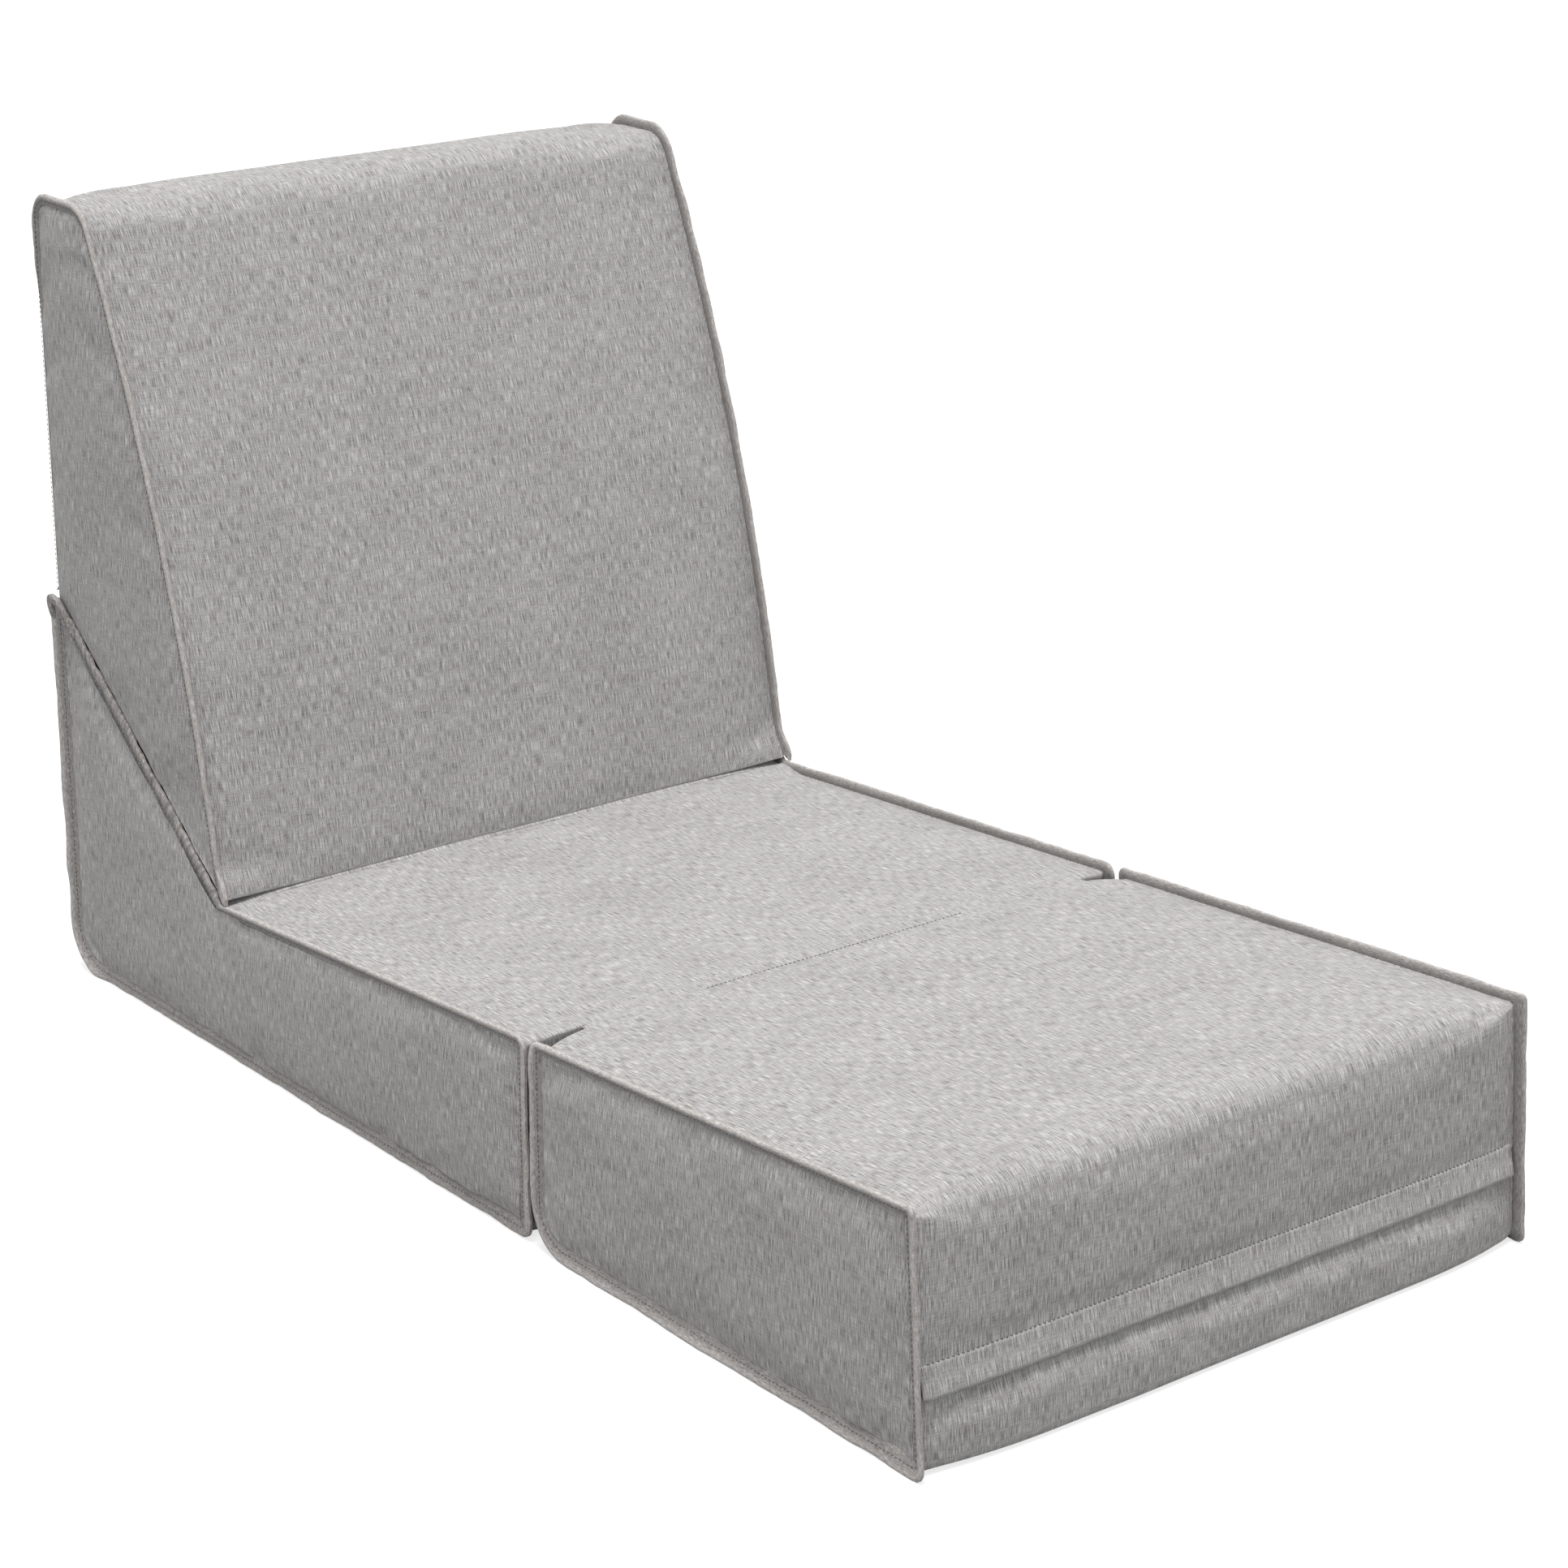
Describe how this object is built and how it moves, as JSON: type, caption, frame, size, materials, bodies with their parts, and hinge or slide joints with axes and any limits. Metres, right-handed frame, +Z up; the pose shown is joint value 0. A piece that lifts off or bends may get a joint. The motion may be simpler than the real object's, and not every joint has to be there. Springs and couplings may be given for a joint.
{
  "type": "folding floor chair",
  "caption": "Legless padded floor chair with a fold-out footrest and a wedge backrest that flips back, all foam blocks in a linen-look fabric cover with sewn welts.",
  "frame": {"origin": "centre of the chair's outline on the floor", "axes": "+Z up, +Y from the foot end to the back, +X to the right as seen from the foot end"},
  "size_m": [0.6634, 1.3069, 0.7755],
  "materials": {
    "foam": "cut flexible polyurethane foam, cream",
    "linen_top": "light warm grey linen-look weave",
    "linen_side": "light warm grey linen-look weave",
    "welt": "folded and stitched edge of the same weave",
    "zip_tape": "woven polyester tape",
    "zip_teeth": "nylon coil",
    "zip_metal": "die-cast slider, plated"
  },
  "bodies": {
    "seat_base": {"seat_foam": "foam", "seat_top_cover": "linen_top", "wedge_cover": "linen_side", "seat_bottom_cover": "linen_side", "seat_side_left": "linen_side", "seat_side_right": "linen_side", "seat_welt_left": "welt", "seat_welt_right": "welt", "seat_zip_flap": "linen_side", "seat_zip_tapes": "zip_tape", "seat_zip_teeth": "zip_teeth", "seat_zip_stops": "zip_teeth", "fold_hinge_seam": "welt", "rear_hinge_seam": "welt"},
    "footrest": {"footrest_foam": "foam", "footrest_top_cover": "linen_top", "footrest_bottom_cover": "linen_side", "footrest_side_left": "linen_side", "footrest_side_right": "linen_side", "footrest_welt_left": "welt", "footrest_welt_right": "welt", "footrest_zip_flap": "linen_side", "footrest_zip_tapes": "zip_tape", "footrest_zip_teeth": "zip_teeth", "footrest_zip_stops": "zip_teeth"},
    "backrest": {"backrest_foam": "foam", "backrest_front_cover": "linen_top", "backrest_lower_cover": "linen_side", "backrest_side_left": "linen_side", "backrest_side_right": "linen_side", "backrest_welt_left": "welt", "backrest_welt_right": "welt", "backrest_zip_flap": "linen_side", "backrest_zip_tapes": "zip_tape", "backrest_zip_teeth": "zip_teeth", "backrest_zip_stops": "zip_teeth", "backrest_hinge_tape": "welt"},
    "seat_slider": {"seat_zip_slider": "zip_metal"},
    "footrest_slider": {"footrest_zip_slider": "zip_metal"},
    "backrest_slider": {"backrest_zip_slider": "zip_metal"}
  },
  "joints": [
    {"name": "footrest_fold", "type": "hinge", "parent": "seat_base", "child": "footrest", "pos_m": [0, -0.1405, 0.18825], "axis": [-1, 0, 0], "range_deg": [0, 180]},
    {"name": "backrest_flip", "type": "hinge", "parent": "seat_base", "child": "backrest", "pos_m": [0, 0.65099, 0.38832], "axis": [-1, 0, 0], "range_deg": [0, 180]},
    {"name": "seat_zip_slide", "type": "slide", "parent": "seat_base", "child": "seat_slider", "axis": [-1, 0, 0], "range_m": [0, 0.611]},
    {"name": "footrest_zip_slide", "type": "slide", "parent": "footrest", "child": "footrest_slider", "axis": [-1, 0, 0], "range_m": [0, 0.611]},
    {"name": "backrest_zip_slide", "type": "slide", "parent": "backrest", "child": "backrest_slider", "axis": [-1, 0, 0], "range_m": [0, 0.611]}
  ]
}
